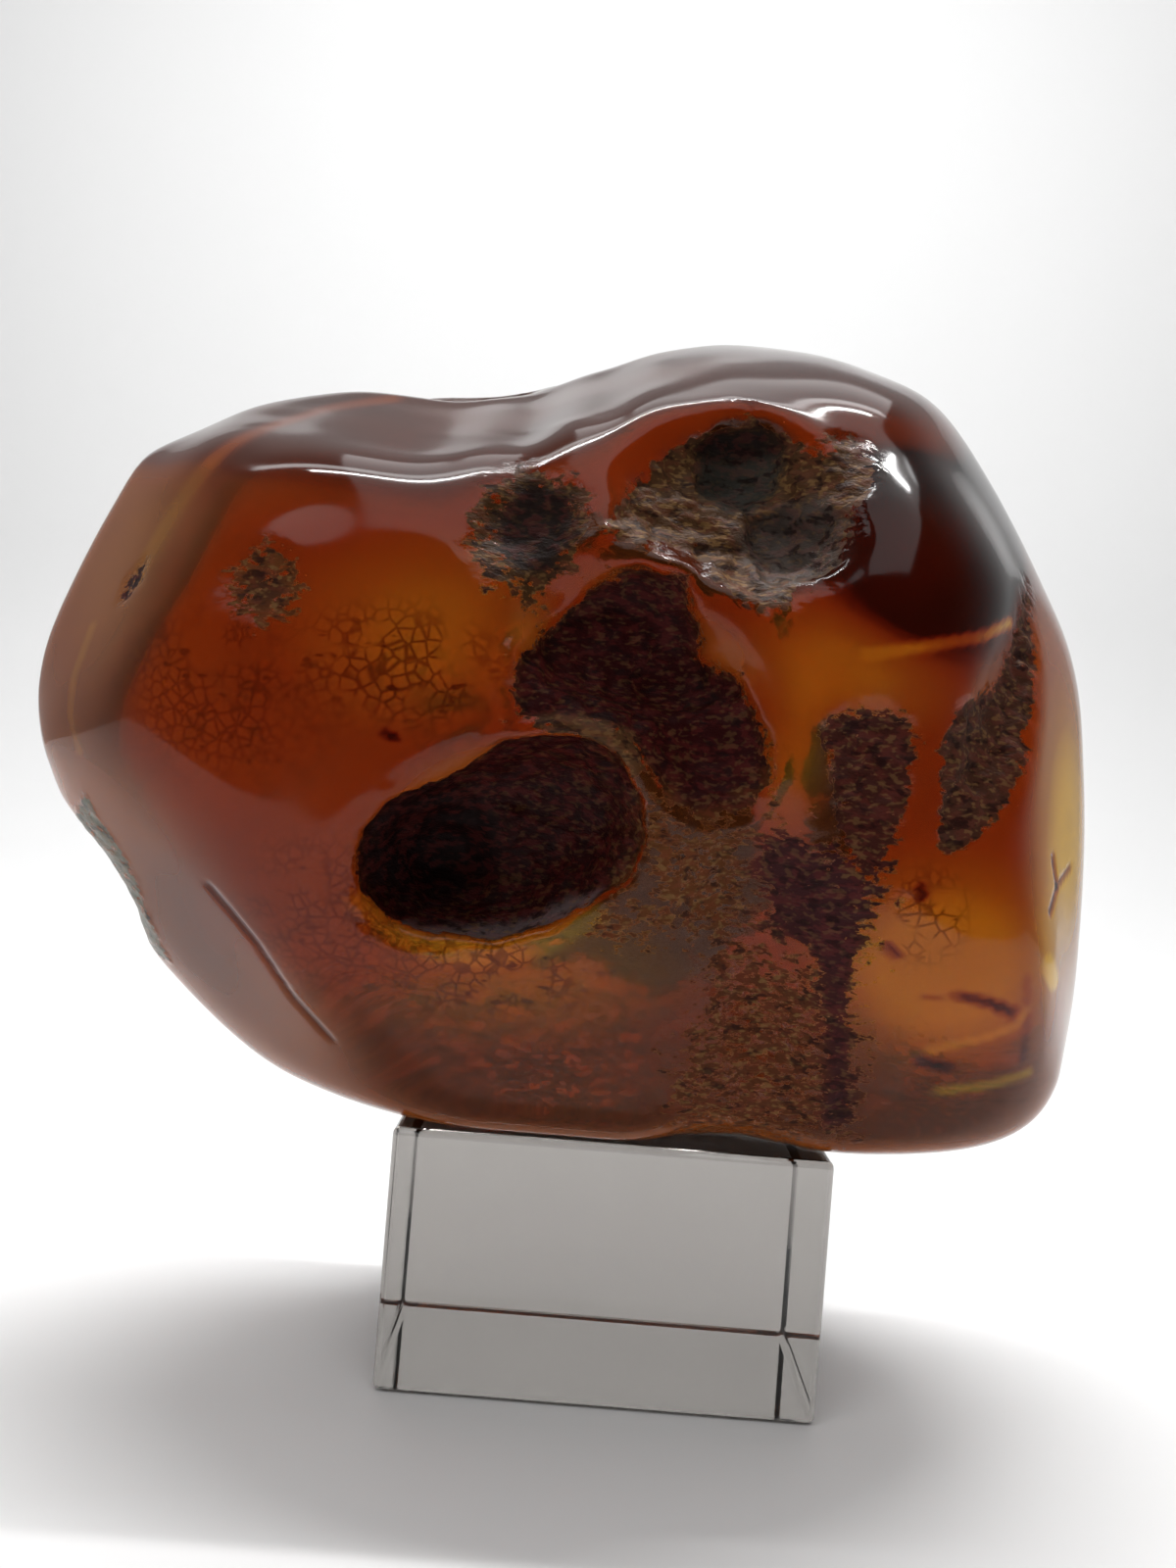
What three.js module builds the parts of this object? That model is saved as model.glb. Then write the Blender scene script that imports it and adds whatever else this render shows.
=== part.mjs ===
// A polished amber nugget resting on a clear acrylic block. Millimetres, +Z up.
// The origin is the centre of the block's base, and the nugget's best side faces -Y.
import * as THREE from "three";
import { mergeVertices } from "three/addons/utils/BufferGeometryUtils.js";

// The stand: a solid block, square to the axes, with small bevels on every edge.
const STAND_WIDTH = 38;
const STAND_DEPTH = 30;
const STAND_HEIGHT = 22.5;
const STAND_BEVEL = 0.6;
const STAND_BEVEL_STEPS = 2;

// The nugget rests on the block with this gap.
const REST_GAP = 0.3;
const UNDERSIDE_Z = STAND_HEIGHT + REST_GAP;
const UNDERSIDE_ROUND = 3;

// The nugget's surface is found along rays that spread from a flat core in its middle.
// The rays lean to the front, where the detail is.
const HEART = new THREE.Vector3(-7, -3, 59);
const CORE = new THREE.Vector3(27, 0, 18);
const SPREAD = new THREE.Vector3(22, 25, 17);
const FRONT_BIAS = 0.25;
const SPHERE_DETAIL = 20;
const LONGEST_REACH = 60;
const SEARCH_STEPS = 26;

// The nugget's outline, as x and z, seen along +Y, from its left tip clockwise.
const OUTLINE = [
  [-57.2, 64],
  [-55.8, 70],
  [-50.6, 78],
  [-44, 85.6],
  [-37, 90.8],
  [-27, 92.3],
  [-15.6, 93.2],
  [-4, 96.4],
  [4.5, 97.6],
  [13, 96.8],
  [22, 93.3],
  [28.8, 89],
  [34.5, 81.5],
  [40, 67.3],
  [42.6, 54],
  [42.6, 43.5],
  [41.2, 35.5],
  [37.4, 28.2],
  [30.5, 23.4],
  [17, 20],
  [0, 18],
  [-14, 18.5],
  [-27.5, 22.2],
  [-38, 27.4],
  [-44.4, 34],
  [-50, 44.4],
  [-53.4, 53.5],
];
const OUTLINE_STEPS = 720;

// The pebble inside that outline: how far it reaches to the front and the back of its widest line,
// how that line leans back with height, and how square its section is.
const REACH_FRONT = 25.5;
const REACH_BACK = 24;
const WAIST_Y = -4;
const WAIST_LEAN = 0.18;
const WAIST_Z = 60;
const SQUARENESS = 2.5;
const PEBBLE_SCALE = 26;

// The polished top facet: it leans towards the front, and its front edge is this ridge, as x and z.
const RIDGE = [
  [-60, 70],
  [-46, 74],
  [-36, 76.8],
  [-29, 77.4],
  [-21, 77.2],
  [-13, 78.4],
  [-7, 81],
  [-1, 83.6],
  [5, 85.2],
  [14, 85.6],
  [22, 84.4],
  [32, 80],
];
const RIDGE_Y = -23;
const TOP_LEAN = 0.5;
const RIDGE_ROUND = 2.5;

// Other polished faces: a point on each, the direction that it faces, and how softly it meets its neighbours.
const FACES = [
  { name: "lower front", point: [0, -29.5, 61], facing: [0, -0.95, -0.3], round: 6 },
  { name: "lower left", point: [-31, -18.5, 37], facing: [-0.5, -0.64, -0.58], round: 3 },
  { name: "left shoulder", point: [-48, -15.5, 66], facing: [-0.7, -0.66, 0.27], round: 3 },
  { name: "right shoulder", point: [21, -23, 81], facing: [0.73, -0.48, 0.49], round: 3 },
  { name: "right side", point: [32.5, -19.5, 64], facing: [0.84, -0.54, 0.06], round: 3 },
  { name: "back", point: [0, 19, 62], facing: [0.08, 0.97, 0.22], round: 9 },
  { name: "back foot", point: [0, 10, 30], facing: [0.05, 0.72, -0.69], round: 9 },
  { name: "back left", point: [-38, 10, 60], facing: [-0.62, 0.75, 0.2], round: 8 },
];

// Hollows in the front, as x and z of the middle, half sizes, turn in degrees and depth.
// A negative depth is a swelling, and a larger floor gives a flatter bottom and a steeper rim.
const FRONT_FORMS = [
  { name: "left swelling", at: [-27, 71], half: [14, 9], turn: 0, depth: -1.2, floor: 0 },
  { name: "dark knob", at: [20.5, 71], half: [11, 13], turn: 12, depth: -2.2, floor: 0.1 },
  { name: "lower right swelling", at: [28, 41], half: [12, 13], turn: 0, depth: -1.2, floor: 0 },
  { name: "small spot", at: [-31, 66.5], half: [3.6, 3.4], turn: 0, depth: 0.5, floor: 0.2 },
  { name: "round spot", at: [-10.8, 71.9], half: [5, 4.8], turn: 0, depth: 1.1, floor: 0.3 },
  { name: "crust bed", at: [4.5, 76], half: [11, 8.5], turn: -12, depth: 2.2, floor: 0.45 },
  { name: "upper pit", at: [5.8, 79], half: [5, 3.2], turn: 14, depth: 2.2, floor: 0.2 },
  { name: "lower pit", at: [10, 73.2], half: [4.4, 3.4], turn: -25, depth: 1.8, floor: 0.2 },
  { name: "kidney head", at: [-3, 64.6], half: [9.8, 6.2], turn: -12, depth: 3.4, floor: 0.5 },
  { name: "kidney foot", at: [4, 59.4], half: [6, 7.2], turn: 20, depth: 2.2, floor: 0.4 },
  { name: "oval hollow", at: [-11.2, 48.2], half: [13, 8], turn: 27, depth: 4.6, floor: 0.45 },
  { name: "oval hollow, deep end", at: [-16.8, 45.6], half: [6, 5.6], turn: 27, depth: 1.6, floor: 0.2 },
  { name: "crust channel", at: [9.6, 41], half: [6.5, 16], turn: 14, depth: 1.5, floor: 0.3 },
  { name: "middle patch", at: [16.8, 54.6], half: [5, 8.5], turn: 10, depth: 0.9, floor: 0.3 },
  { name: "fibrous patch", at: [27.2, 61.5], half: [3.6, 12.5], turn: -12, depth: 1.1, floor: 0.3 },
  { name: "foot notch", at: [9.5, 23], half: [9, 4.5], turn: 0, depth: 1.6, floor: 0.2 },
];

// Hollows in the back, measured in the same way.
const BACK_FORMS = [
  { name: "back hollow", at: [-16, 66], half: [12, 8], turn: 18, depth: 2.4, floor: 0.3 },
  { name: "back dimple", at: [14, 50], half: [8, 6.5], turn: -20, depth: 1.8, floor: 0.3 },
];

// Where the front's forms fade out and the back's begin, in y.
const FRONT_FADE = [-12, -5];
const BACK_FADE = [3, 9];

// Crust-filled grooves along the back edge of the top facet, as x from and to.
const TOP_GROOVES = [
  { from: -31, to: -13, y: 4, depth: 1 },
  { from: -10.5, to: 8, y: 5, depth: 1.2 },
];
const GROOVE_HALF_WIDTH = 2.4;
const GROOVE_END = 3;
const GROOVE_FLOOR_Z = 82;

// A scooped chip on the left edge.
const CHIP = { middle: [-50.5, -5, 41], half: [9, 10, 9], depth: 2.4, floor: 0.2 };

const AMBER = { color: 0x8a4a1c, roughness: 0.16, metalness: 0 };
const ACRYLIC = { color: 0xe6e9e8, roughness: 0.05, metalness: 0 };

// The larger of two distances, with the edge between them rounded.
function softMax(a, b, round) {
  const near = Math.max(round - Math.abs(a - b), 0) / round;
  return Math.max(a, b) + (near * near * round) / 4;
}

// The z of a hand-drawn line at x.
function heightAlong(line, x) {
  const next = line.findIndex(([end]) => end >= x);
  if (next <= 0) return next < 0 ? line.at(-1)[1] : line[0][1];
  const [x0, z0] = line[next - 1];
  const [x1, z1] = line[next];
  return THREE.MathUtils.lerp(z0, z1, THREE.MathUtils.smoothstep(x, x0, x1));
}

// The outline's distance from the heart in every direction, as a function of the angle.
function outlineRadius() {
  const points = OUTLINE.map(([x, z]) => new THREE.Vector3(x - HEART.x, 0, z - HEART.z));
  const curve = new THREE.CatmullRomCurve3(points, true);
  const table = curve
    .getPoints(OUTLINE_STEPS)
    .map((p) => ({ angle: Math.atan2(p.z, p.x), radius: Math.hypot(p.x, p.z) }))
    .sort((a, b) => a.angle - b.angle);
  return (angle) => {
    const next = table.findIndex((entry) => entry.angle >= angle);
    if (next <= 0) return table[0].radius;
    const before = table[next - 1];
    const after = table[next];
    const share = (angle - before.angle) / (after.angle - before.angle || 1);
    return THREE.MathUtils.lerp(before.radius, after.radius, share);
  };
}

const radiusAt = outlineRadius();

// The rounded pebble that fills the outline. Like every function below, it is negative inside.
function pebble(p) {
  const dx = p.x - HEART.x;
  const dz = p.z - HEART.z;
  const across = Math.hypot(dx, dz) / radiusAt(Math.atan2(dz, dx));
  const fromWaist = p.y - WAIST_Y - WAIST_LEAN * (p.z - WAIST_Z);
  const through = Math.abs(fromWaist) / (fromWaist < 0 ? REACH_FRONT : REACH_BACK);
  const norm = (across ** SQUARENESS + through ** SQUARENESS) ** (1 / SQUARENESS);
  return (norm - 1) * PEBBLE_SCALE;
}

function topFacet(p) {
  const rise = p.z - heightAlong(RIDGE, p.x) - TOP_LEAN * (p.y - RIDGE_Y);
  return rise / Math.hypot(1, TOP_LEAN);
}

function flatFace(face, p) {
  const offset = p.clone().sub(new THREE.Vector3(...face.point));
  return offset.dot(new THREE.Vector3(...face.facing).normalize());
}

// How much of a hollow's full depth is cut at a point: all of it on the floor, none past the rim.
function dish(form, p) {
  const turn = THREE.MathUtils.degToRad(form.turn);
  const dx = p.x - form.at[0];
  const dz = p.z - form.at[1];
  const along = (dx * Math.cos(turn) + dz * Math.sin(turn)) / form.half[0];
  const over = (dz * Math.cos(turn) - dx * Math.sin(turn)) / form.half[1];
  return 1 - THREE.MathUtils.smoothstep(Math.hypot(along, over), form.floor, 1);
}

function groove(form, p) {
  const inLength =
    THREE.MathUtils.smoothstep(p.x, form.from, form.from + GROOVE_END) *
    (1 - THREE.MathUtils.smoothstep(p.x, form.to - GROOVE_END, form.to));
  const inWidth = 1 - THREE.MathUtils.smoothstep(Math.abs(p.y - form.y), 0, GROOVE_HALF_WIDTH);
  return p.z > GROOVE_FLOOR_Z ? inLength * inWidth * form.depth : 0;
}

function chip(p) {
  const share = CHIP.half.map((half, axis) => (p.getComponent(axis) - CHIP.middle[axis]) / half);
  return CHIP.depth * (1 - THREE.MathUtils.smoothstep(Math.hypot(...share), CHIP.floor, 1));
}

// The whole nugget's signed distance at a point, about in millimetres.
function nuggetField(p) {
  let distance = pebble(p);
  for (const face of FACES) {
    distance = softMax(distance, flatFace(face, p), face.round);
  }
  distance = softMax(distance, topFacet(p), RIDGE_ROUND);
  const front = 1 - THREE.MathUtils.smoothstep(p.y, ...FRONT_FADE);
  for (const form of FRONT_FORMS) {
    distance += front * form.depth * dish(form, p);
  }
  const back = THREE.MathUtils.smoothstep(p.y, ...BACK_FADE);
  for (const form of BACK_FORMS) {
    distance += back * form.depth * dish(form, p);
  }
  for (const form of TOP_GROOVES) {
    distance += groove(form, p);
  }
  distance += chip(p);
  return softMax(distance, UNDERSIDE_Z - p.z, UNDERSIDE_ROUND);
}

// The point of the nugget's surface on one ray from its core, found by halving.
function surfacePoint(direction) {
  const start = direction.clone().multiply(CORE).add(HEART);
  const ray = direction.clone().multiply(SPREAD).normalize();
  let inside = 0;
  let outside = LONGEST_REACH;
  const p = new THREE.Vector3();
  for (let step = 0; step < SEARCH_STEPS; step += 1) {
    const middle = (inside + outside) / 2;
    p.copy(start).addScaledVector(ray, middle);
    if (nuggetField(p) < 0) inside = middle;
    else outside = middle;
  }
  return p;
}

function amberNugget() {
  const sphere = new THREE.IcosahedronGeometry(1, SPHERE_DETAIL);
  sphere.deleteAttribute("normal");
  sphere.deleteAttribute("uv");
  const geometry = mergeVertices(sphere);
  const place = geometry.getAttribute("position");
  const direction = new THREE.Vector3();
  for (let i = 0; i < place.count; i += 1) {
    direction.fromBufferAttribute(place, i).normalize();
    direction.y -= FRONT_BIAS;
    direction.normalize();
    const p = surfacePoint(direction);
    place.setXYZ(i, p.x, p.y, p.z);
  }
  geometry.computeVertexNormals();
  const mesh = new THREE.Mesh(geometry, new THREE.MeshStandardMaterial(AMBER));
  mesh.name = "amber_nugget";
  return mesh;
}

function acrylicStand() {
  const halfWidth = STAND_WIDTH / 2 - STAND_BEVEL;
  const halfDepth = STAND_DEPTH / 2 - STAND_BEVEL;
  const base = new THREE.Shape([
    new THREE.Vector2(-halfWidth, -halfDepth),
    new THREE.Vector2(halfWidth, -halfDepth),
    new THREE.Vector2(halfWidth, halfDepth),
    new THREE.Vector2(-halfWidth, halfDepth),
  ]);
  const geometry = new THREE.ExtrudeGeometry(base, {
    depth: STAND_HEIGHT - 2 * STAND_BEVEL,
    bevelSize: STAND_BEVEL,
    bevelThickness: STAND_BEVEL,
    bevelSegments: STAND_BEVEL_STEPS,
  });
  geometry.translate(0, 0, STAND_BEVEL);
  const mesh = new THREE.Mesh(geometry, new THREE.MeshStandardMaterial(ACRYLIC));
  mesh.name = "acrylic_stand";
  return mesh;
}

const specimen = new THREE.Group();
specimen.add(acrylicStand(), amberNugget());

export default specimen;
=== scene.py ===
"""Looks for a polished amber nugget on a clear block. Metres, +Z up, best side to -Y."""
import math
from typing import NamedTuple

import bmesh
import bpy
import numpy as np
from mathutils import Matrix, Vector, noise


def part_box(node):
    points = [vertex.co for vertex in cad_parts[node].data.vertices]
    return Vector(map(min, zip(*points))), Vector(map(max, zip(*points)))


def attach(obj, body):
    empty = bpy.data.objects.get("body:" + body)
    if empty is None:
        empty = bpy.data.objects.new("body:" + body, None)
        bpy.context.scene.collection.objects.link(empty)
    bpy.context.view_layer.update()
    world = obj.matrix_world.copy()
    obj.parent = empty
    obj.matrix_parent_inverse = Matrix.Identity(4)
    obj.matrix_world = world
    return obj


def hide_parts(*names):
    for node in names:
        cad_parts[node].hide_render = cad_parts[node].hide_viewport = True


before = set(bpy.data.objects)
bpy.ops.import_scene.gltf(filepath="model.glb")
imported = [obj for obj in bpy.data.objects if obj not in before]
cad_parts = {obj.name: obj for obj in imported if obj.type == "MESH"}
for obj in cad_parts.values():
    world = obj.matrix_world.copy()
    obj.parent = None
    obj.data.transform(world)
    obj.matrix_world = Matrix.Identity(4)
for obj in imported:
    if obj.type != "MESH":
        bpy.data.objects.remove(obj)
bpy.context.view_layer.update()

MM = 0.001
PER_MM = 1000.0

# Camera: level, rolled a little, close to the nugget, as in the photograph.
CAMERA_PLACE = Vector((-4.7, -128.0, 53.1)) * MM
CAMERA_ROLL = math.radians(4.6)
FOCAL_PIXELS = 1350
PICTURE_HEIGHT = 1600
SENSOR = 36.0

# Nugget mesh: rounds of subdivision, of rounding off and of the blur that edges are pushed from.
SMOOTH_ROUNDS = 2
ROUNDING_ROUNDS = 8
SHARPEN_ROUNDS = 40
SHARPEN_LIMIT = 0.5 * MM


class Patch(NamedTuple):
    """A crusted place on one side of the nugget, or a place of painted shade or painted reflection in a
    hollow. Lengths are in millimetres.

    outline holds x and z, as seen along Y. The crust thins out over soft, its edge wanders by
    ragged, and cover is how much amber it hides. fleck is the share of pale flecks, rough the
    shader's roughness, step how deep the crust lies, grit how lumpy it is and lip how high the
    amber stands up around it.
    """
    outline: tuple
    soft: float
    ragged: float
    cover: float
    colour: tuple
    fleck: float
    rough: float
    step: float = 0.0
    grit: float = 0.0
    lip: float = 0.0


# Crust colours, and the black of a painted shadow.
PURPLE = (0.03, 0.003, 0.003)
DARK_RED = (0.022, 0.002, 0.002)
PAINTED_SHADOW = (0.006, 0.001, 0.001)
EARTH = (0.062, 0.02, 0.008)
TAN = (0.085, 0.038, 0.015)
GREY = (0.11, 0.085, 0.068)
DEEP_DARK = (0.018, 0.01, 0.008)
VIOLET = (0.04, 0.009, 0.01)
FLECK = (0.24, 0.125, 0.045, 1)
WRINKLE = (0.035, 0.005, 0.004, 1)

KIDNEY = ((-8.3, 64.9), (-5.9, 68.3), (-2.6, 69.8), (1.2, 69.3), (2.9, 65.9), (3.1, 63.7), (6.2, 61.6),
          (8.1, 58.7), (9.1, 55), (8, 51.7), (4.2, 50.9), (0.7, 53.2), (-1.2, 56), (-3.2, 57.6),
          (-6.2, 57.6), (-10.3, 57.4), (-11.2, 60), (-10.3, 62.8))

FRONT_PATCHES = {
    "small spot": Patch(
        ((-31, 69.7), (-28, 68.5), (-27.2, 66.2), (-28.4, 63.8), (-31, 63), (-33.3, 64.4),
         (-33.9, 67.1), (-32.7, 68.9)),
        soft=2.4, ragged=0.5, cover=0.74, colour=(0.14, 0.042, 0.01), fleck=0.7, rough=0.45, step=0.05,
        grit=0.12),
    "small spot middle": Patch(
        ((-31, 68.2), (-29, 67), (-29.3, 65.2), (-31.2, 64.6), (-32.4, 66.2)),
        soft=1.6, ragged=0.8, cover=0.72, colour=(0.06, 0.02, 0.009), fleck=0.5, rough=0.5, step=0.1,
        grit=0.1),
    "round spot": Patch(
        ((-11.4, 78.2), (-7.4, 76.7), (-5.7, 72.7), (-6.6, 68.6), (-10, 66.5), (-13.7, 67.3),
         (-15.6, 71.5), (-14.9, 76)),
        soft=2.0, ragged=1.5, cover=0.74, colour=(0.06, 0.026, 0.008), fleck=0.6, rough=0.5, step=0.15,
        grit=0.25),
    "round spot middle": Patch(
        ((-11.2, 76.3), (-8, 75.2), (-7, 72), (-8.3, 69.1), (-11.2, 68.4), (-13.1, 70.6), (-13.5, 74.6)),
        soft=1.2, ragged=0.7, cover=1.0, colour=DEEP_DARK, fleck=0.1, rough=0.6, step=0.25, grit=0.15),
    "crust bed": Patch(
        ((-4.9, 72.9), (-3.3, 76.2), (-1.4, 78.7), (0.6, 80.9), (4, 83.2), (8.4, 83.8), (11.2, 81.9),
         (14.5, 82.8), (16, 80), (14.7, 75.4), (13.7, 72.5), (12, 70), (9.1, 67.6), (6.5, 68.1),
         (4.2, 69.7), (1.5, 72), (-2, 71.8)),
        soft=1.6, ragged=1.7, cover=0.9, colour=TAN, fleck=0.8, rough=0.5, step=0.3, grit=0.55),
    # The upper pit's dark is painted shade under its upper edge; the greyish floors of the upper and lower
    # pits are a painted reflection on the crust.
    "upper pit": Patch(
        ((2, 81.1), (3.7, 82.7), (7.6, 83.3), (9.1, 81.6), (8.7, 80.5), (5.3, 80.3), (2.6, 79.9)),
        soft=0.9, ragged=0.4, cover=1.0, colour=DEEP_DARK, fleck=0.05, rough=0.5, step=0.9, grit=0.1),
    "upper pit floor": Patch(
        ((2.6, 80.1), (5.3, 80.3), (8.7, 81.1), (8.6, 78.2), (6.4, 75.6), (4, 76.2), (2.4, 77.8)),
        soft=0.8, ragged=0.4, cover=1.0, colour=(0.05, 0.045, 0.036), fleck=0.1, rough=0.4, step=0.5,
        grit=0.08),
    "lower pit": Patch(
        ((5.7, 73.8), (8.4, 76.7), (12.1, 77.6), (14.1, 75.4), (13.4, 72.1), (10.6, 69.4), (7.2, 69.6)),
        soft=1.2, ragged=0.6, cover=1.0, colour=(0.075, 0.055, 0.045), fleck=0.25, rough=0.42, step=0.4,
        grit=0.3),
    "kidney's border": Patch(
        KIDNEY,
        soft=4.0, ragged=2.0, cover=0.6, colour=(0.1, 0.03, 0.008), fleck=0.8, rough=0.5),
    "kidney": Patch(
        KIDNEY,
        soft=1.3, ragged=0.6, cover=1.0, colour=PURPLE, fleck=0.2, rough=0.5, step=0.9, grit=0.4,
        lip=0.3),
    "oval hollow": Patch(
        ((-22.3, 45.1), (-21.6, 48.1), (-19.8, 50.4), (-16.2, 52.3), (-13.6, 53.7), (-10.9, 55.8),
         (-8, 56.4), (-5, 56.4), (-2.5, 55.2), (-0.8, 52.3), (-0.2, 48.9), (-1.1, 46.1), (-4, 43.9),
         (-6.9, 41.8), (-11.5, 40.3), (-16.3, 40.4), (-19.5, 41.1), (-21.7, 43)),
        soft=0.8, ragged=0.3, cover=1.0, colour=DARK_RED, fleck=0.16, rough=0.42, step=1.0, grit=0.35,
        lip=0.4),
    # Painted shadow deep in the oval hollow's end.
    "oval hollow end": Patch(
        ((-21.9, 45.5), (-20.9, 48.9), (-17.6, 51.1), (-14, 51.4), (-11.4, 49.4), (-11.8, 45.7),
         (-15.4, 43.7), (-19.8, 43.1)),
        soft=2.0, ragged=0.6, cover=1.0, colour=PAINTED_SHADOW, fleck=0.0, rough=0.5),
    # A painted highlight along the oval hollow's lower rim, in a pale crust colour.
    "oval hollow's lower rim": Patch(
        ((-19.6, 41.2), (-16.3, 41.2), (-11.6, 41.6), (-7.6, 43.2), (-3.4, 45.4), (-3.6, 43.9),
         (-6.8, 41.7), (-11.5, 40.1), (-16.3, 40.1)),
        soft=0.5, ragged=0.4, cover=0.75, colour=(0.12, 0.085, 0.085), fleck=0.4, rough=0.3),
    "saddle": Patch(
        ((-9.9, 57.3), (-5.1, 58.6), (-1.7, 57.7), (-0.4, 55.3), (-0.8, 53), (-2.6, 55.5), (-5.7, 56.8)),
        soft=0.7, ragged=0.4, cover=0.85, colour=TAN, fleck=0.4, rough=0.45, step=0.0, grit=0.1),
    "channel head": Patch(
        ((-0.6, 54.2), (3.1, 50.5), (8, 51.2), (9.5, 54.2), (10.7, 50.5), (8.8, 48), (9.7, 44.1),
         (7.8, 40.2), (3.3, 41.3), (-0.6, 40.6), (-3.8, 41.9), (-0.3, 45.8), (0.1, 49.7)),
        soft=4.5, ragged=3.0, cover=0.62, colour=(0.11, 0.034, 0.008), fleck=0.7, rough=0.55, step=0.1,
        grit=0.25),
    "channel middle": Patch(
        ((8.9, 50.4), (14.1, 50.8), (18.6, 48.9), (19.6, 43.9), (18, 41.3), (12.1, 40.6), (9.2, 42.4),
         (9.1, 47.2)),
        soft=3.2, ragged=2.4, cover=0.8, colour=VIOLET, fleck=0.5, rough=0.5, step=0.1, grit=0.25),
    "channel foot": Patch(
        ((5.7, 41.4), (18, 41.7), (19.4, 34.4), (20.3, 25), (14, 24), (4, 23.5), (3, 29.6), (4.6, 35.6)),
        soft=4.5, ragged=2.0, cover=0.6, colour=(0.09, 0.026, 0.009), fleck=0.6, rough=0.55, step=0.1,
        grit=0.2),
    "channel stripe": Patch(
        ((9.3, 50.9), (12.6, 50.5), (16.3, 46.6), (17.4, 43.2), (17.9, 36.2), (19.2, 27.1), (17, 26.3),
         (16, 34.1), (14.6, 40.3), (11.3, 42.6), (9.4, 46.8)),
        soft=1.6, ragged=0.8, cover=0.95, colour=VIOLET, fleck=0.2, rough=0.45, step=0.15, grit=0.2),
    "middle patch": Patch(
        ((12.8, 58.6), (14.3, 60.4), (17.4, 60.8), (19.9, 59.7), (20.4, 57.6), (20.2, 53.9),
         (19.1, 50.5), (17.7, 47.9), (16.3, 48.5), (14.9, 51.9), (13.5, 55.4)),
        soft=1.8, ragged=1.0, cover=0.9, colour=(0.05, 0.012, 0.008), fleck=0.35, rough=0.5, step=0.2,
        grit=0.35),
    "fibrous patch": Patch(
        ((31.8, 73.7), (31.4, 68.7), (30.8, 63.1), (30.1, 58.1), (28, 54.4), (26.1, 51.2), (23.3, 49.7),
         (22.3, 51), (22.8, 54.2), (22, 57.7), (23.2, 61.1), (26.9, 63.2), (29.1, 67.9)),
        soft=1.4, ragged=0.9, cover=0.92, colour=(0.062, 0.022, 0.012), fleck=0.45, rough=0.5, step=0.2,
        grit=0.45),
    "chip": Patch(
        ((-46.9, 49), (-45.2, 46.1), (-43.6, 43.2), (-42.6, 38.7), (-41.5, 34), (-47, 34), (-52, 44)),
        soft=0.7, ragged=0.5, cover=0.7, colour=(0.13, 0.13, 0.1), fleck=0.3, rough=0.3, step=0.0,
        grit=0.1),
    "shoulder dent": Patch(
        ((-44.4, 64.5), (-44, 66.9), (-42, 68.7), (-41.9, 66.6), (-43.1, 65)),
        soft=0.7, ragged=0.3, cover=0.7, colour=DARK_RED, fleck=0.1, rough=0.4, step=0.2, grit=0.05),
}


# The back is hidden, so these are guesses.
BACK_PATCHES = {
    "back crust": Patch(
        ((-9, 42), (4, 37), (13, 44), (12, 60), (8, 76), (-3, 80), (-8, 70), (-4, 58)),
        soft=3.0, ragged=3.0, cover=0.95, colour=EARTH, fleck=0.5, rough=0.55, step=0.3, grit=0.4,
        lip=0.2),
    "back dimple": Patch(
        ((9, 49), (13, 45), (19, 48), (20, 53), (14, 55), (10, 53)),
        soft=1.4, ragged=1.0, cover=0.95, colour=GREY, fleck=0.5, rough=0.5, step=0.4, grit=0.35,
        lip=0.2),
}
# Crusted grooves in the top, as x from, x to and y.
TOP_GROOVES = ((-31, -13, 4), (-10.5, 8, 5))
UNDERSIDE_COLOUR = (0.36, 0.07, 0.015)
# Millimetres: the raised lip's distance from the crust's edge, its width, and the size of lumps.
LIP_AWAY = 0.7
LIP_WIDTH = 0.6
LUMP_SIZE = 1.6


class Glow(NamedTuple):
    """A place where light shining through the amber is painted in or, below zero, where painted shade
    darkens it, as seen along Y.

    at is its middle as x and z, and half its half sizes, in millimetres. turn is in degrees.
    """
    at: tuple
    half: tuple
    turn: float
    strength: float


# The amber's painted lightness away from the places below, and how much painted shade darkens it on top.
BODY_GLOW = 0.38
TOP_SHADE = 0.3
# Above zero, painted light shining through the amber; below zero, painted shade.
GLOWS = {
    "left of the middle": Glow((-18, 64), (14, 10), turn=10, strength=0.45),
    "under the ridge": Glow((-20, 73), (15, 7), turn=0, strength=-0.05),
    "below the oval hollow": Glow((-8, 37), (17, 7), turn=8, strength=0.4),
    "lower right": Glow((24.5, 41), (13, 11), turn=0, strength=0.75),
    "under the knob": Glow((14, 63.5), (11, 6), turn=-8, strength=0.5),
    "strip": Glow((11, 56), (4, 8), turn=0, strength=0.4),
    "right edge": Glow((37, 52), (8, 18), turn=0, strength=0.6),
    # Painted dark reflection on the polished knob and the right shoulder.
    "dark knob": Glow((21.5, 73.5), (13, 12), turn=0, strength=-0.7),
    "heart of the knob": Glow((20.5, 71), (9, 7.5), turn=0, strength=-0.5),
    "right shoulder": Glow((29.5, 81), (9, 12), turn=-30, strength=-0.35),
    "left shoulder": Glow((-44, 70), (14, 18), turn=20, strength=0.1),
    "lower left": Glow((-36, 38), (14, 12), turn=-45, strength=-0.12),
}


class Line(NamedTuple):
    """A streak, crack or crease in the front, with its path as x and z.

    half is its half width and depth how deep it is cut, in millimetres. glow above zero paints in light, as
    glints in fissures and light shining through the amber; below zero it darkens cracks, specks and the
    black sliver, and in the crease it is painted shade.
    """
    path: tuple
    half: float
    glow: float
    depth: float = 0.0


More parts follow.
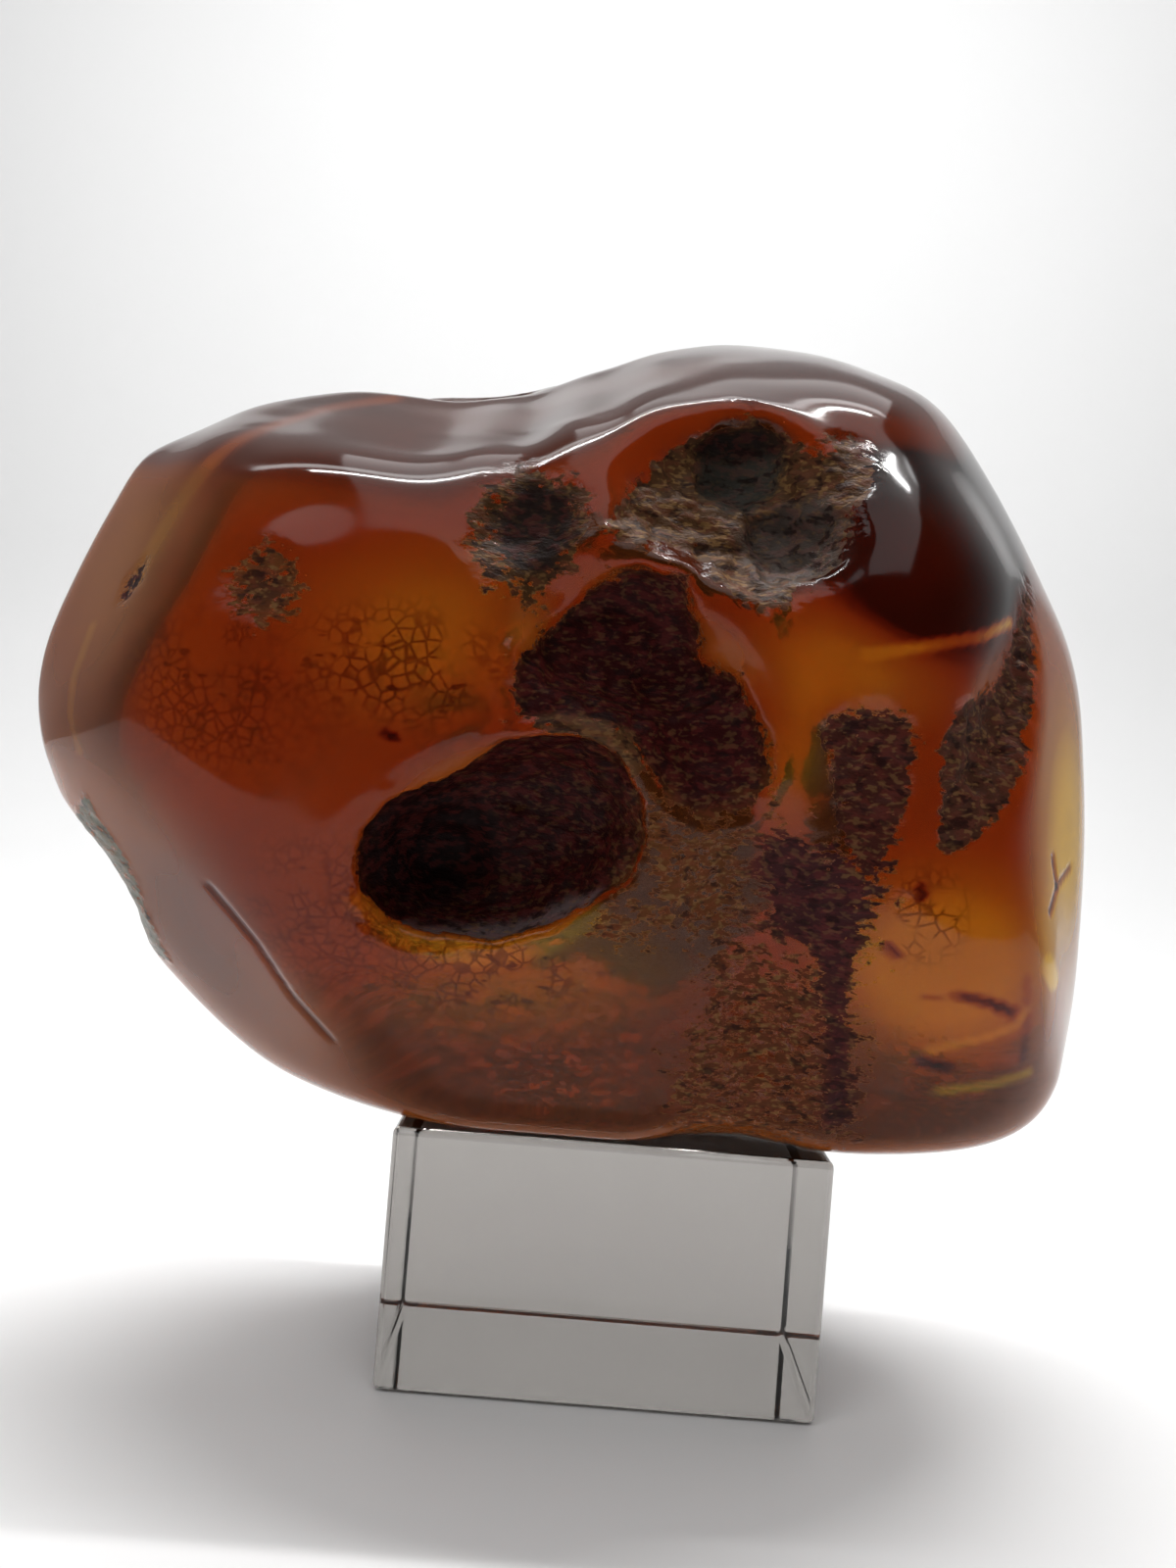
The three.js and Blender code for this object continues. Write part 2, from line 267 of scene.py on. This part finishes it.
LINES = {
    # Painted light shining through the amber.
    "band along the left shoulder": Line(
        ((-42.5, 66.8), (-39.9, 72.7), (-37.1, 77.6), (-34.4, 81.9), (-31.6, 85.4), (-26.4, 88.4)),
        half=1.0, glow=0.16),
    "light below the oval hollow": Line(
        ((-22, 42.4), (-19.6, 40.2), (-16.3, 39), (-11.5, 38.9), (-6.9, 40.4), (-3.2, 42.9)),
        half=1.1, glow=0.4),
    # The crease's darkening is painted shade.
    "crease": Line(
        ((-34.7, 42.3), (-30.9, 38.1), (-27.7, 33.2), (-24.5, 30.1)),
        half=0.35, glow=-0.15, depth=0.2),
    # Painted glints of fissures in the amber: this streak, the golden streak and the upper fold.
    "streak under the knob": Line(
        ((15.7, 64.6), (19.7, 65.5), (24.7, 66.9), (28.3, 68.9)),
        half=0.5, glow=0.75),
    "golden streak": Line(((25.9, 30.3), (29.4, 31), (33.3, 32.3)), half=0.5, glow=0.9),
    "upper fold": Line(((24.6, 33.9), (28.3, 35.3), (31.2, 36.6), (31.8, 38)), half=0.4, glow=0.4),
    "fold end": Line(((31.2, 40.4), (32, 37.1), (32.4, 33.6)), half=0.4, glow=-0.25),
    "black sliver": Line(((26, 38.8), (28.4, 38.4), (30.4, 37.7)), half=0.5, glow=-1.0),
    "sliver's tail": Line(((22.9, 38.3), (26, 38.8)), half=0.25, glow=-0.5),
    "dark spot": Line(((23.9, 32.9), (26.2, 32.5)), half=0.55, glow=-0.5),
    "right crack": Line(((34.2, 50.1), (35, 47.7), (33.6, 45.8)), half=0.35, glow=-0.6, depth=0.15),
    "right crack's branch": Line(((37.7, 49.2), (35, 47.7)), half=0.3, glow=-0.6, depth=0.15),
    "upper speck": Line(((21.8, 47.1), (22, 46.4)), half=0.45, glow=-0.9),
    "lower speck": Line(((19.9, 42.2), (20.6, 41.6)), half=0.45, glow=-0.9),
    "left speck": Line(((-20.4, 55.7), (-19.7, 55.5)), half=0.35, glow=-0.7),
    # A painted glint of a fissure.
    "line in the left tip": Line(
        ((-46.8, 62.8), (-47.9, 58.6), (-47.7, 55.3), (-46.5, 52.6)),
        half=0.5, glow=0.14),
    # A painted glint of a fissure.
    "orange spot": Line(((33.5, 41.5), (34.6, 40.1)), half=0.9, glow=0.5),
}


# Where fine cracks show.
CRAZES = {
    "left of the kidney": Glow((-20, 61), (12, 6.5), turn=0, strength=0.9),
    "left": Glow((-34, 58), (11, 10), turn=0, strength=0.7),
    "below the oval hollow": Glow((-11, 37.5), (14, 5), turn=5, strength=0.9),
    "lower left": Glow((-25, 41), (10, 9), turn=-40, strength=0.7),
    "lower right": Glow((22.5, 45), (4.5, 5.5), turn=0, strength=0.9),
}


# Shader nodes

def add(tree, kind, settings=None, **inputs):
    """A new node: an input given a socket is linked, and any other value is set."""
    made = tree.nodes.new(kind)
    for name, value in (settings or {}).items():
        setattr(made, name, value)
    for name, value in inputs.items():
        socket = made.inputs[name.replace("_", " ")]
        if isinstance(value, bpy.types.NodeSocket):
            tree.links.new(value, socket)
        else:
            socket.default_value = value
    return made


def put(tree, socket, value):
    if isinstance(value, bpy.types.NodeSocket):
        tree.links.new(value, socket)
    else:
        socket.default_value = value


def calc(tree, operation, *values):
    made = tree.nodes.new("ShaderNodeMath")
    made.operation = operation
    for socket, value in zip(made.inputs, values):
        put(tree, socket, value)
    return made.outputs[0]


def ramp(tree, value, low, high, to_low=0.0, to_high=1.0):
    """value from low..high to to_low..to_high, smooth and clamped."""
    made = tree.nodes.new("ShaderNodeMapRange")
    made.interpolation_type = "SMOOTHSTEP"
    for socket, number in zip(made.inputs, (value, low, high, to_low, to_high)):
        put(tree, socket, number)
    return made.outputs[0]


def mix(tree, share, first, second, blend="MIX"):
    made = tree.nodes.new("ShaderNodeMix")
    made.data_type = "RGBA"
    made.blend_type = blend
    put(tree, made.inputs[0], share)
    put(tree, made.inputs[6], first)
    put(tree, made.inputs[7], second)
    return made.outputs[2]


def attribute(tree, name):
    return add(tree, "ShaderNodeAttribute", {"attribute_name": name}).outputs["Fac"]


def grain(tree, where, size_mm, detail=3.0, rough=0.55):
    """Noise from 0 to 1 with grains of that size."""
    scale = PER_MM / size_mm
    made = add(tree, "ShaderNodeTexNoise", Vector=where, Scale=scale, Detail=detail, Roughness=rough)
    return made.outputs["Fac"]


def new_material(name):
    made = bpy.data.materials.new(name)
    made.use_nodes = True
    tree = made.node_tree
    tree.nodes.clear()
    shader = tree.nodes.new("ShaderNodeBsdfPrincipled")
    output = tree.nodes.new("ShaderNodeOutputMaterial")
    tree.links.new(shader.outputs[0], output.inputs["Surface"])
    return made, tree, shader


# Mesh work

def solid_of(node):
    """A CAD node's points and triangles, with the points that share a place merged."""
    work = bmesh.new()
    work.from_mesh(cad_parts[node].data)
    bmesh.ops.remove_doubles(work, verts=work.verts, dist=0.01 * MM)
    bmesh.ops.triangulate(work, faces=work.faces)
    points = np.array([v.co for v in work.verts])
    faces = np.array([[v.index for v in f.verts] for f in work.faces])
    work.free()
    return points, faces


def edges_of(faces):
    return np.sort(np.concatenate([faces[:, [0, 1]], faces[:, [1, 2]], faces[:, [2, 0]]]), axis=1)


def loop_round(points, faces):
    """One round of Loop subdivision of a closed triangle mesh."""
    edges = edges_of(faces)
    across = np.concatenate([faces[:, 2], faces[:, 0], faces[:, 1]])
    pairs, which = np.unique(edges, axis=0, return_inverse=True)
    which = which.reshape(3, -1)
    wings = np.zeros((len(pairs), 3))
    np.add.at(wings, which.ravel(), points[across])
    middles = (points[pairs[:, 0]] + points[pairs[:, 1]]) * 3 / 8 + wings / 8
    ring = np.zeros_like(points)
    count = np.zeros(len(points))
    for a, b in ((0, 1), (1, 0)):
        np.add.at(ring, pairs[:, a], points[pairs[:, b]])
        np.add.at(count, pairs[:, a], 1)
    weight = np.where(count == 3, 3 / 16, 3 / (8 * count))
    kept = points * (1 - count * weight)[:, None] + ring * weight[:, None]
    ab, bc, ca = which + len(points)
    a, b, c = faces.T
    corners = [(a, ab, ca), (b, bc, ab), (c, ca, bc), (ab, bc, ca)]
    return np.concatenate([kept, middles]), np.concatenate([np.stack(t, axis=1) for t in corners])


def normals_of(points, faces):
    a, b, c = (points[faces[:, i]] for i in range(3))
    flat = np.cross(b - a, c - a)
    total = np.zeros_like(points)
    for i in range(3):
        np.add.at(total, faces[:, i], flat)
    return total / np.linalg.norm(total, axis=1, keepdims=True)


def smooth(low, high, value):
    t = np.clip((value - low) / (high - low), 0, 1)
    return t * t * (3 - 2 * t)


def noise_at(points, size_mm, octaves=3):
    """Seedless fractal noise, about -1 to 1, with cells of that size."""
    scale = PER_MM / size_mm
    return np.array([noise.fractal(Vector(p) * scale, 1.0, 2.0, octaves) for p in points])


def reach(zone, points):
    """0 in the middle of a zone and 1 at its edge."""
    turn = math.radians(zone.turn)
    dx = points[:, 0] / MM - zone.at[0]
    dz = points[:, 2] / MM - zone.at[1]
    along = (dx * math.cos(turn) + dz * math.sin(turn)) / zone.half[0]
    over = (dz * math.cos(turn) - dx * math.sin(turn)) / zone.half[1]
    return np.hypot(along, over)


def from_segment(start, end, x, z):
    """Distance of every x and z from the line between two points."""
    (ax, az), (bx, bz) = start, end
    along = ((x - ax) * (bx - ax) + (z - az) * (bz - az)) / ((bx - ax) ** 2 + (bz - az) ** 2)
    along = np.clip(along, 0, 1)
    return np.hypot(x - ax - along * (bx - ax), z - az - along * (bz - az))


def distance_to(outline, points):
    """Millimetres from a closed outline seen along Y, below zero inside it."""
    x, z = points[:, 0] / MM, points[:, 2] / MM
    nearest = np.full(len(points), np.inf)
    inside = np.zeros(len(points), bool)
    for (ax, az), (bx, bz) in zip(outline, outline[1:] + outline[:1]):
        nearest = np.minimum(nearest, from_segment((ax, az), (bx, bz), x, z))
        if az != bz:
            crossed = ax + (z - az) * (bx - ax) / (bz - az)
            inside ^= ((az > z) != (bz > z)) & (x < crossed)
    return np.where(inside, -nearest, nearest)


def crust_over(points, normals, patches, side, crust):
    """Lay the patches of one side over the crust so far. side is -1 for the front and 1 for the back."""
    near = np.flatnonzero(side * normals[:, 1] > -0.1)
    place = points[near]
    wander = 0.7 * noise_at(place, 3.5) + 0.5 * noise_at(place, 1.1)
    facing = smooth(-0.1, 0.25, side * normals[near, 1])
    for patch in patches.values():
        gap = distance_to(patch.outline, place) + patch.ragged * wander
        share = (1 - smooth(-0.7 * patch.soft, 0.7 * patch.soft, gap)) * facing
        for name in ("cover", "step", "grit"):
            crust[name][near] = np.maximum(crust[name][near], share * getattr(patch, name))
        for name in ("colour", "fleck", "rough"):
            old = crust[name][near]
            weight = share.reshape((-1,) + (1,) * (old.ndim - 1))
            crust[name][near] = old + weight * (np.array(getattr(patch, name)) - old)
        lip = patch.lip * facing * np.exp(-((gap - LIP_AWAY) / LIP_WIDTH) ** 2)
        crust["lip"][near] = np.maximum(crust["lip"][near], lip)


def crust_under(points, normals, crust):
    """The unpolished underside, which the front doesn't show."""
    share = smooth(0.35, 0.6, -normals[:, 2]) * smooth(-5, 4, points[:, 1] / MM)
    crust["cover"] = np.maximum(crust["cover"], share * (0.5 + 0.5 * smooth(0.8, 0.95, -normals[:, 2])))
    crust["grit"] = np.maximum(crust["grit"], 0.2 * share * smooth(24, 27, points[:, 2] / MM))
    crust["fleck"] += share * 0.4
    crust["colour"] += share[:, None] * (np.array(UNDERSIDE_COLOUR) - crust["colour"])


def crust_on_top(points, normals, crust):
    """Crust in the grooves along the back edge of the top facet."""
    x, y = points[:, 0] / MM, points[:, 1] / MM
    wander = 0.8 * noise_at(points, 4.0)
    for start, end, middle in TOP_GROOVES:
        share = smooth(0.2, 0.5, normals[:, 2]) * (1 - smooth(0.8, 2.2, np.abs(y - middle + wander)))
        share *= smooth(start - 1, start + 2, x) * (1 - smooth(end - 2, end + 1, x))
        crust["cover"] = np.maximum(crust["cover"], 0.95 * share)
        crust["grit"] = np.maximum(crust["grit"], 0.3 * share)
        crust["step"] = np.maximum(crust["step"], 0.3 * share)
        crust["fleck"] = np.maximum(crust["fleck"], 0.5 * share)


def bare_crust(count):
    crust = {name: np.zeros(count) for name in ("cover", "step", "grit", "fleck", "lip")}
    crust["rough"] = np.full(count, 0.45)
    crust["colour"] = np.tile(np.array(EARTH), (count, 1))
    return crust


def glow_over(points, normals):
    """How light the amber is painted at every point, from the painted glows and shades and the lines, and
    the lines' depth.
    """
    total = np.full(len(points), BODY_GLOW)
    facing = smooth(-0.3, 0.3, -normals[:, 1])
    for glow in GLOWS.values():
        total += glow.strength * facing * (1 - smooth(0.15, 1.0, reach(glow, points)))
    groove = np.zeros(len(points))
    for line in LINES.values():
        share = facing * (1 - smooth(0.3 * line.half, 1.4 * line.half, distance_along(line.path, points)))
        total += line.glow * share
        groove = np.maximum(groove, line.depth * share)
    return np.clip(total, 0, 1), groove


def distance_along(path, points):
    """Millimetres from an open path seen along Y."""
    x, z = points[:, 0] / MM, points[:, 2] / MM
    nearest = np.full(len(points), np.inf)
    for start, end in zip(path, path[1:]):
        nearest = np.minimum(nearest, from_segment(start, end, x, z))
    return nearest


def craze_over(points):
    """Where fine cracks and dashes show in the polish."""
    total = np.zeros(len(points))
    for zone in CRAZES.values():
        total = np.maximum(total, zone.strength * (1 - smooth(0.3, 1.0, reach(zone, points))))
    return total


def mesh_piece(name, points, faces, material, values):
    mesh = bpy.data.meshes.new(name)
    mesh.from_pydata(points.tolist(), [], faces.tolist())
    mesh.polygons.foreach_set("use_smooth", np.ones(len(faces), bool))
    for label, numbers in values.items():
        if numbers.ndim == 1:
            layer = mesh.attributes.new(label, "FLOAT", "POINT")
            layer.data.foreach_set("value", numbers.astype(np.float32))
        else:
            layer = mesh.attributes.new(label, "FLOAT_COLOR", "POINT")
            opaque = np.column_stack([numbers, np.ones(len(numbers))])
            layer.data.foreach_set("color", opaque.astype(np.float32).ravel())
    mesh.materials.append(material)
    mesh.update()
    piece = bpy.data.objects.new(name, mesh)
    bpy.context.scene.collection.objects.link(piece)
    return piece


# Amber

AMBER_IOR = 1.54
AMBER_SHINE = (0.4, 0.4, 0.4, 1)
AMBER_GLOSS = 0.15
CLEAREST = 0.8
MILKINESS = 0.66
AMBER_DEPTH = (0.88, 0.53, 0.02, 1)
AMBER_DENSITY = 110.0
CRACK_CELL = 1.0
CRACK = (0.04, 0.012, 0.004, 1)
PIT = (0.012, 0.003, 0.003, 1)

# Amber colours from the darkest painted shade to the lightest painted glow.
AMBER_DARKEST = (0.008, 0.003, 0.002, 1)
AMBER_LIGHTEST = (0.9, 0.5, 0.03, 1)
AMBER_BETWEEN = (
    (0.2, (0.12, 0.022, 0.006, 1)),
    (0.4, (0.34, 0.085, 0.014, 1)),
    (0.7, (0.52, 0.2, 0.02, 1)),
)


def amber_material():
    made, tree, shader = new_material("amber")
    where = add(tree, "ShaderNodeTexCoord").outputs["Object"]
    stretched = add(tree, "ShaderNodeMapping", Vector=where, Scale=(0.5, 1, 1)).outputs[0]
    cover = attribute(tree, "cover")
    flakes = calc(tree, "MULTIPLY_ADD", grain(tree, stretched, 0.5, 2.0, 0.6), 1.6, -0.8)
    crust = ramp(tree, calc(tree, "ADD", cover, flakes), 0.4, 0.62)
    # The clear amber's colour carries the painted glow and shade.
    clear = crazed(tree, where, stretched, amber_colour(tree, where, attribute(tree, "glow")))
    put(tree, shader.inputs["Base Color"], mix(tree, crust, clear, crust_colour(tree, stretched)))
    put(tree, shader.inputs["Transmission Weight"],
        calc(tree, "MULTIPLY", attribute(tree, "clear"), calc(tree, "SUBTRACT", 1.0, crust)))
    polish = ramp(tree, grain(tree, where, 9.0, 0.0), 0.35, 0.7, 0.08, 0.14)
    rough = add(tree, "ShaderNodeMix", Factor=crust, A=polish, B=attribute(tree, "rough"))
    put(tree, shader.inputs["Roughness"], rough.outputs[0])
    shader.inputs["IOR"].default_value = AMBER_IOR
    shader.inputs["Specular Tint"].default_value = AMBER_SHINE
    shader.inputs["Specular IOR Level"].default_value = AMBER_GLOSS
    bump = add(tree, "ShaderNodeBump", Strength=0.7, Distance=0.3 * MM,
               Height=calc(tree, "MULTIPLY", cover, grain(tree, stretched, 0.7, 3.0, 0.7)))
    put(tree, shader.inputs["Normal"], bump.outputs[0])
    absorb = add(tree, "ShaderNodeVolumeAbsorption", Color=AMBER_DEPTH, Density=AMBER_DENSITY)
    tree.links.new(absorb.outputs[0], tree.nodes["Material Output"].inputs["Volume"])
    return made


def crazed(tree, where, stretched, colour):
    """The amber's colour under a net of fine cracks and short dark dashes, in the places that have them."""
    zone = attribute(tree, "craze")
    cells = {"feature": "DISTANCE_TO_EDGE"}
    net = add(tree, "ShaderNodeTexVoronoi", cells, Vector=where, Scale=PER_MM / CRACK_CELL)
    line = ramp(tree, net.outputs["Distance"], 0.03, 0.16, 0.8, 0.0)
    broken = ramp(tree, grain(tree, where, 3.0, 0.0), 0.36, 0.52)
    dash = ramp(tree, grain(tree, stretched, 0.9, 1.0), 0.64, 0.72)
    mark = calc(tree, "MAXIMUM", calc(tree, "MULTIPLY", line, broken), dash)
    return mix(tree, calc(tree, "MULTIPLY", mark, zone), colour, CRACK)


def amber_colour(tree, where, glow):
    cloud = calc(tree, "MULTIPLY_ADD", grain(tree, where, 14.0, 1.0), 0.16, -0.08)
    steps = add(tree, "ShaderNodeValToRGB", Fac=calc(tree, "ADD", glow, cloud))
    bar = steps.color_ramp
    bar.elements[0].color = AMBER_DARKEST
    bar.elements[1].color = AMBER_LIGHTEST
    for place, colour in AMBER_BETWEEN:
        bar.elements.new(place).color = colour
    return steps.outputs[0]


def crust_colour(tree, stretched):
    ground = add(tree, "ShaderNodeAttribute", {"attribute_name": "crust"}).outputs["Color"]
    wrinkled = ramp(tree, grain(tree, stretched, 0.7, 2.0, 0.6), 0.46, 0.6)
    ground = mix(tree, wrinkled, ground, WRINKLE, "ADD")
    fleck = attribute(tree, "fleck")
    pale = ramp(tree, grain(tree, stretched, 0.42, 1.0, 0.6), 0.52, 0.66)
    pitted = ramp(tree, grain(tree, stretched, 0.8, 2.0, 0.6), 0.53, 0.65, 0.0, 0.75)
    flecked = mix(tree, calc(tree, "MULTIPLY", pale, fleck), ground, FLECK)
    return mix(tree, pitted, flecked, PIT)


def blurred(points, faces, rounds):
    """The points, each moved to the middle of its neighbours in every round."""
    pairs = np.unique(edges_of(faces), axis=0)
    count = np.bincount(pairs.ravel(), minlength=len(points))[:, None]
    for _ in range(rounds):
        total = np.zeros_like(points)
        for axis in range(3):
            total[:, axis] += np.bincount(pairs[:, 0], points[pairs[:, 1], axis], len(points))
            total[:, axis] += np.bincount(pairs[:, 1], points[pairs[:, 0], axis], len(points))
        points = total / count
    return points


def sharpen(points, faces):
    """Make the edges between polished faces crisper by pushing points away from a blurred copy."""
    push = points - blurred(points, faces, SHARPEN_ROUNDS)
    length = np.linalg.norm(push, axis=1, keepdims=True)
    return points + push * np.minimum(1, SHARPEN_LIMIT / np.maximum(length, 1e-12))


def clearness(normals, upward):
    """The share of light let through: less at the sides and on top, where the amber is milky."""
    sideways = smooth(0.1, 0.5, 1 + normals[:, 1]) * (1 - 0.8 * smooth(0.0, 0.4, normals[:, 1]))
    return CLEAREST - MILKINESS * np.maximum(sideways, upward)


def amber_nugget():
    points, faces = solid_of("amber_nugget")
    for _ in range(SMOOTH_ROUNDS):
        points, faces = loop_round(points, faces)
    points = blurred(points, faces, ROUNDING_ROUNDS)
    points = sharpen(points, faces)
    normals = normals_of(points, faces)
    crust = bare_crust(len(points))
    crust_under(points, normals, crust)
    crust_on_top(points, normals, crust)
    crust_over(points, normals, BACK_PATCHES, 1, crust)
    crust_over(points, normals, FRONT_PATCHES, -1, crust)
    gritty = np.flatnonzero(crust["grit"] > 0)
    lumps = np.zeros(len(points))
    lumps[gritty] = noise_at(points[gritty], LUMP_SIZE, 4)
    glow, groove = glow_over(points, normals)
    lift = crust["grit"] * lumps - crust["step"] + crust["lip"] - groove
    upward = smooth(0.3, 0.75, normals[:, 2])
    values = {
        "cover": crust["cover"],
        "fleck": crust["fleck"],
        "rough": crust["rough"],
        "crust": crust["colour"],
        # Painted glow, with painted shade on top.
        "glow": np.clip(glow - TOP_SHADE * upward, 0, 1),
        "clear": clearness(normals, upward),
        "craze": craze_over(points),
    }
    points = points + normals * (lift * MM)[:, None]
    piece = mesh_piece("nugget", points, faces, amber_material(), values)
    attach(piece, "root")
    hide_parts("amber_nugget")
    return piece


# Stand

STAND_BEVEL = 0.6 * MM
STAND_BEVEL_STEPS = 4
# A grey tint that paints the shade of the dim background seen through the block.
ACRYLIC_SHADE_TINT = (0.29, 0.275, 0.26, 1)
ACRYLIC_IOR = 1.49


def acrylic_material():
    made, tree, shader = new_material("acrylic")
    where = add(tree, "ShaderNodeTexCoord").outputs["Object"]
    shader.inputs["Base Color"].default_value = ACRYLIC_SHADE_TINT
    shader.inputs["Transmission Weight"].default_value = 1.0
    shader.inputs["IOR"].default_value = ACRYLIC_IOR
    put(tree, shader.inputs["Roughness"], ramp(tree, grain(tree, where, 6.0), 0.4, 0.7, 0.0, 0.03))
    return made


def clear_stand():
    low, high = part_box("acrylic_stand")
    work = bmesh.new()
    bmesh.ops.create_cube(work, size=1.0)
    bmesh.ops.scale(work, vec=high - low, verts=work.verts)
    bmesh.ops.translate(work, vec=(low + high) / 2, verts=work.verts)
    bmesh.ops.bevel(work, geom=work.edges, offset=STAND_BEVEL, segments=STAND_BEVEL_STEPS,
                    affect="EDGES", profile=0.5)
    mesh = bpy.data.meshes.new("stand")
    work.to_mesh(mesh)
    work.free()
    mesh.materials.append(acrylic_material())
    piece = bpy.data.objects.new("stand", mesh)
    bpy.context.scene.collection.objects.link(piece)
    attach(piece, "root")
    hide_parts("acrylic_stand")
    return piece


# Studio

FLOOR_Z = -0.2 * MM
# The studio is darkest in this direction, which the upper front mirrors.
DARK_SIDE = (0, -0.8, 0.6)


def backdrop():
    """A pale floor that sweeps up into a wall behind the object."""
    half_width = 0.4
    front = -0.13
    bend_start = 0.35
    radius = 0.15
    top = 0.46
    bend_steps = 12
    profile = [(front, FLOOR_Z), (bend_start, FLOOR_Z)]
    for step in range(1, bend_steps + 1):
        turn = math.pi / 2 * step / bend_steps
        profile.append((bend_start + radius * math.sin(turn), FLOOR_Z + radius * (1 - math.cos(turn))))
    profile.append((bend_start + radius, top))
    points = np.array([(x, y, z) for y, z in profile for x in (-half_width, half_width)])
    faces = np.array([(2 * i, 2 * i + 1, 2 * i + 3, 2 * i + 2) for i in range(len(profile) - 1)])
    made, _, shader = new_material("backdrop")
    shader.inputs["Base Color"].default_value = (0.86, 0.86, 0.86, 1)
    shader.inputs["Roughness"].default_value = 0.9
    piece = mesh_piece("floor", points, faces, made, {})


def softbox(name, place, target, size, power, shape="RECTANGLE"):
    light = bpy.data.lights.new(name, "AREA")
    light.shape = shape
    light.size, light.size_y = size
    light.energy = power
    lamp = bpy.data.objects.new(name, light)
    lamp.location = place
    lamp.rotation_mode = "QUATERNION"
    lamp.rotation_quaternion = (Vector(target) - Vector(place)).to_track_quat("-Z", "Y")
    bpy.context.scene.collection.objects.link(lamp)


def studio():
    world = bpy.data.worlds.new("studio")
    world.use_nodes = True
    tree = world.node_tree
    tree.nodes["Background"].inputs["Color"].default_value = (1, 1, 1, 1)
    way = add(tree, "ShaderNodeTexCoord").outputs["Generated"]
    toward_dark = add(tree, "ShaderNodeVectorMath", {"operation": "DOT_PRODUCT"})
    tree.links.new(way, toward_dark.inputs[0])
    toward_dark.inputs[1].default_value = DARK_SIDE
    strength = ramp(tree, toward_dark.outputs["Value"], -0.2, 0.7, 0.4, 0.04)
    put(tree, tree.nodes["Background"].inputs["Strength"], strength)
    bpy.context.scene.world = world
    softbox("overhead", (0.08, -0.1, 0.8), (0.05, -0.1, 0), (1.4, 0.6), 4.5)
    softbox("strip", (0, 0.06, 0.6), (0, 0.02, 0), (0.5, 0.012), 2.4)
    softbox("wall_wash", (-0.05, 0.12, 0.55), (-0.05, 0.5, 0.12), (0.6, 0.08), 1.0)
    softbox("window", (-0.25, -0.3, 0.37), (0, 0, 0.06), (0.26, 0.26), 0.34, "ELLIPSE")


def camera():
    lens = bpy.data.cameras.new("camera")
    lens.sensor_width = SENSOR
    lens.lens = FOCAL_PIXELS * SENSOR / PICTURE_HEIGHT
    lens.clip_start = 0.005
    eye = bpy.data.objects.new("camera", lens)
    right = Vector((math.cos(CAMERA_ROLL), 0, math.sin(CAMERA_ROLL)))
    up = Vector((-math.sin(CAMERA_ROLL), 0, math.cos(CAMERA_ROLL)))
    back = Vector((0, -1, 0))
    turn = Matrix((right, up, back)).transposed()
    eye.matrix_world = Matrix.Translation(CAMERA_PLACE) @ turn.to_4x4()
    bpy.context.scene.collection.objects.link(eye)
    bpy.context.scene.camera = eye


camera()
studio()
backdrop()
clear_stand()
amber_nugget()
bpy.context.scene.view_settings.view_transform = "Standard"
cycles = bpy.context.scene.cycles
cycles.use_denoising = True
cycles.max_bounces = 7
cycles.transmission_bounces = 6
cycles.glossy_bounces = 3
cycles.diffuse_bounces = 2
